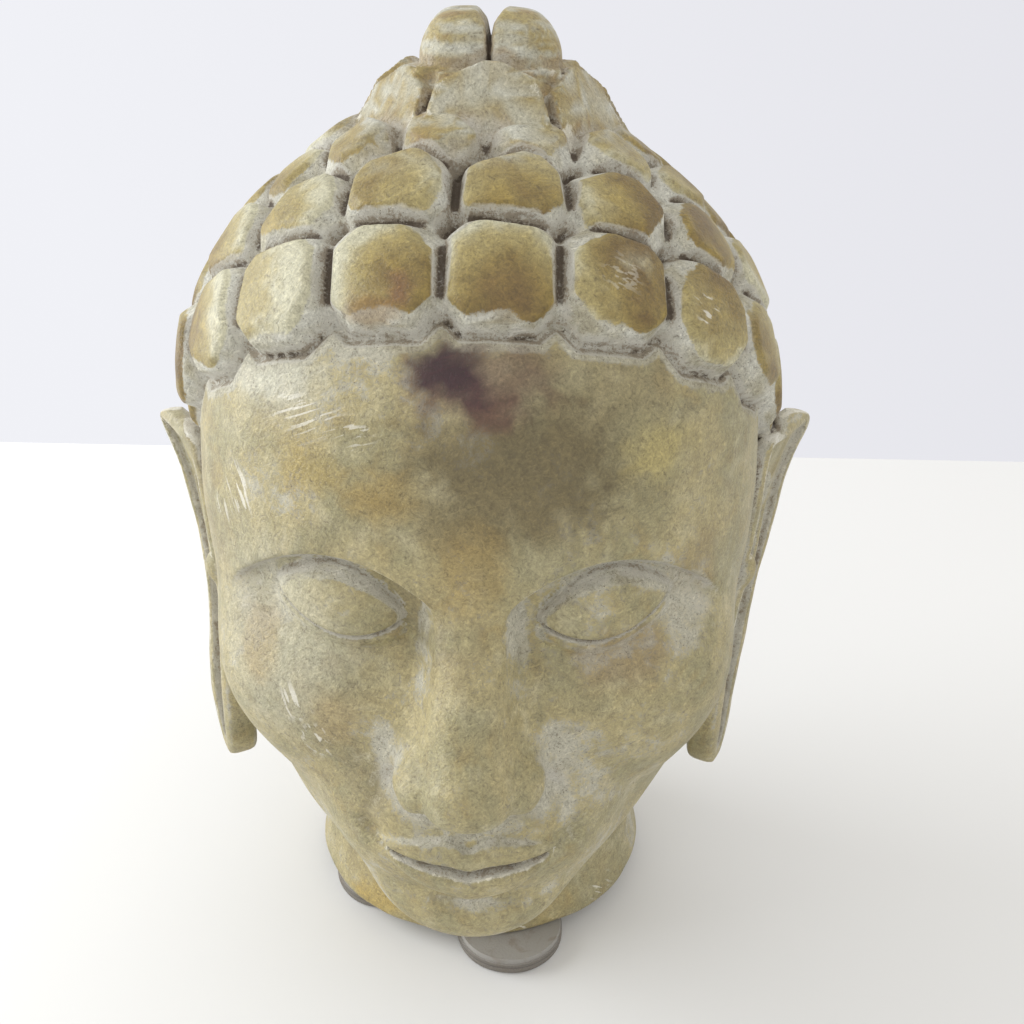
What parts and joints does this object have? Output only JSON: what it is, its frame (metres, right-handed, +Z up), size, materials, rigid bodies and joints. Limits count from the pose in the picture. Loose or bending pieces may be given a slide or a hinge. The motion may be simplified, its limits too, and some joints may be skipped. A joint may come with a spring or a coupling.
{
  "type": "stone buddha head",
  "caption": "Small carved soapstone head with rows of cut hair curls, a topknot and long ears, sawn flat at the neck and standing on round stick-on pads.",
  "frame": {"origin": "middle of the bounding box seen from above, on the surface that the pads stand on", "axes": "+Z up through the topknot, -Y the way the face looks, +X towards the viewer's right when facing the face"},
  "size_m": [0.1092, 0.1054, 0.1519],
  "materials": {
    "soapstone": "hand-carved soapstone, olive and ochre, half polished, pale dust in the recesses",
    "pad": "matt grey"
  },
  "bodies": {
    "root": {"stone_head": "soapstone", "pad_front": "pad", "pad_left": "pad", "pad_back": "pad", "pad_right": "pad"}
  },
  "joints": []
}
